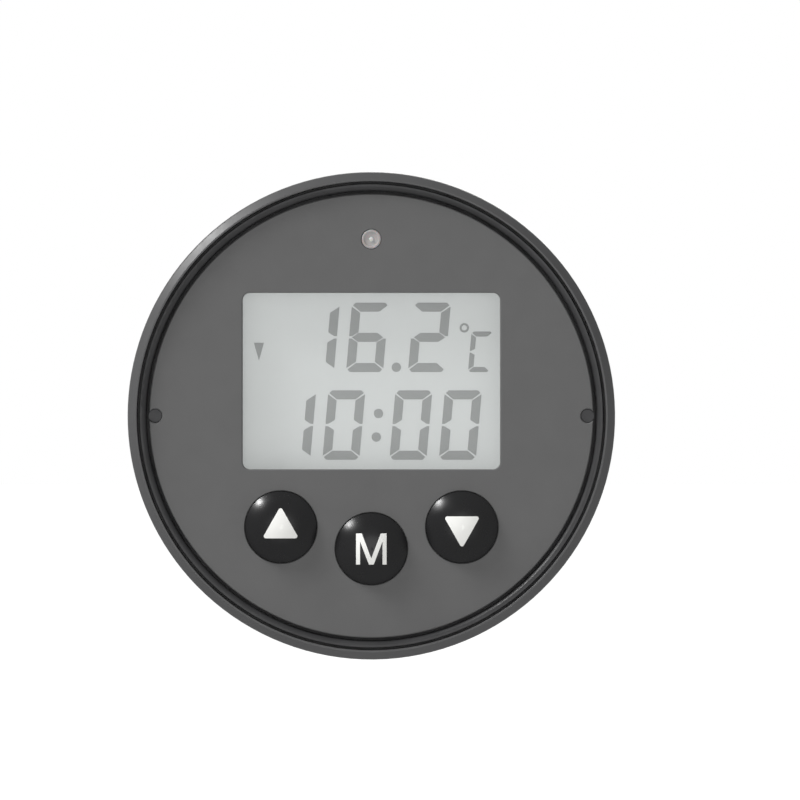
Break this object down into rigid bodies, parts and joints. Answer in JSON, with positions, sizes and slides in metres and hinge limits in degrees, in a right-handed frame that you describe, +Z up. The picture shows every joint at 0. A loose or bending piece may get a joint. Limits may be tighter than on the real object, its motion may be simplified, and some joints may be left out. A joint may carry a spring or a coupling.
{
  "type": "automatic fish feeder",
  "caption": "Round battery fish feeder head with a temperature and clock display and push keys, turning a clear food drum above a rim clamp.",
  "frame": {"origin": "middle of the clamp's saddle face, which rests on the tank's rim", "axes": "+Y from the display towards the food drum's lid, +Z up, +X to the right of someone reading the display"},
  "size_m": [0.08, 0.1184, 0.08],
  "materials": {
    "bezel_plastic": "satin",
    "gasket_rubber": "matte",
    "face_grey": "matte",
    "window_clear": "gloss",
    "lcd_glass": "gloss",
    "lcd_ink": "matte",
    "lcd_silver": "matte",
    "key_black": "gloss",
    "legend_white": "satin",
    "led_grey": "gloss",
    "shell_plastic": "satin",
    "board_green": "satin",
    "part_black": "matte",
    "inner_plastic": "matte",
    "white_plastic": "satin",
    "steel": "satin",
    "spring_metal": "gloss",
    "brass": "satin",
    "cell_wrap": "gloss",
    "seal_rubber": "matte",
    "drum_clear": "gloss",
    "slider_grey": "satin",
    "clamp_plastic": "satin",
    "hub_plastic": "satin",
    "magnet": "gloss"
  },
  "bodies": {
    "head": {"bezel_ring": "bezel_plastic", "front_gasket": "gasket_rubber", "face_plate": "face_grey", "display_window": "window_clear", "lcd_front_glass": "lcd_glass", "lcd_rear_glass": "lcd_silver", "lcd_reflector": "lcd_silver", "lcd_segments": "lcd_ink", "lcd_holder": "inner_plastic", "contact_strip": "seal_rubber", "tact_switches": "part_black", "main_pcb": "board_green", "pcb_screws": "steel", "board_components": "part_black", "status_led": "led_grey", "led_leads": "steel", "temperature_sensor": "part_black", "head_shell": "shell_plastic", "rear_seal": "seal_rubber", "rear_cover": "shell_plastic", "rear_cover_screws": "steel", "battery_tray": "inner_plastic", "batteries": "cell_wrap", "battery_contacts": "spring_metal", "motor_mount": "inner_plastic", "mount_screws": "steel", "gearhead": "brass", "motor_can": "steel", "motor_screws": "steel", "position_sensor": "part_black", "inner_bush": "brass", "outer_bush": "brass", "shaft_seal": "seal_rubber", "clamp_bracket": "clamp_plastic", "bracket_screws": "steel", "jaw_pad": "seal_rubber"},
    "key_up": {"key_up": "key_black", "legend_up": "legend_white", "switch_plunger_up": "part_black"},
    "key_mode": {"key_mode": "key_black", "legend_mode": "legend_white", "switch_plunger_mode": "part_black"},
    "key_down": {"key_down": "key_black", "legend_down": "legend_white", "switch_plunger_down": "part_black"},
    "battery_door": {"battery_door": "shell_plastic"},
    "drive": {"drum_gear": "white_plastic", "position_magnet": "magnet", "drive_shaft": "steel", "shaft_clip": "spring_metal", "drive_hub": "hub_plastic", "hub_pin": "steel"},
    "motor_pinion": {"motor_pinion": "white_plastic", "gearhead_shaft": "steel"},
    "drum": {"drum": "drum_clear"},
    "drum_lid": {"drum_lid": "shell_plastic"},
    "dose_slider": {"dose_slider": "slider_grey"},
    "clamp_pad": {"clamp_pad": "seal_rubber"},
    "thumb_screw": {"thumb_screw": "steel", "clamp_knob": "clamp_plastic"}
  },
  "joints": [
    {"name": "up_press", "type": "slide", "parent": "head", "child": "key_up", "axis": [0, 1, 0], "range_m": [0, 0.0006], "stiffness_N_per_m": 600, "springref_m": -0.0008},
    {"name": "mode_press", "type": "slide", "parent": "head", "child": "key_mode", "axis": [0, 1, 0], "range_m": [0, 0.0006], "stiffness_N_per_m": 600, "springref_m": -0.0008},
    {"name": "down_press", "type": "slide", "parent": "head", "child": "key_down", "axis": [0, 1, 0], "range_m": [0, 0.0006], "stiffness_N_per_m": 600, "springref_m": -0.0008},
    {"name": "battery_door_slide", "type": "slide", "parent": "head", "child": "battery_door", "axis": [0, 0, -1], "range_m": [0, 0.03]},
    {"name": "drum_turn", "type": "hinge", "parent": "head", "child": "drive", "pos_m": [0, 0, 0.0305], "axis": [0, -1, 0], "continuous": true},
    {"name": "pinion_turn", "type": "hinge", "parent": "head", "child": "motor_pinion", "pos_m": [-0.01471, 0, 0.04521], "axis": [0, -1, 0], "continuous": true},
    {"name": "drum_pull_off", "type": "slide", "parent": "drive", "child": "drum", "axis": [0, 1, 0], "range_m": [0, 0.012]},
    {"name": "lid_pull_off", "type": "slide", "parent": "drum", "child": "drum_lid", "axis": [0, 1, 0], "range_m": [0, 0.02]},
    {"name": "dose_slide", "type": "slide", "parent": "drum", "child": "dose_slider", "axis": [0, 1, 0], "range_m": [0, 0.0162]},
    {"name": "pad_slide", "type": "slide", "parent": "head", "child": "clamp_pad", "axis": [0, -1, 0], "range_m": [0, 0.011]},
    {"name": "screw_turn", "type": "hinge", "parent": "clamp_pad", "child": "thumb_screw", "pos_m": [0, 0, -0.009], "axis": [0, -1, 0], "range_deg": [0, 3961]}
  ],
  "couplings": [
    {"joint": "pinion_turn", "follows": "drum_turn", "ratio": -3.3333},
    {"joint": "screw_turn", "follows": "pad_slide", "rad_per_m": 6283.2}
  ]
}
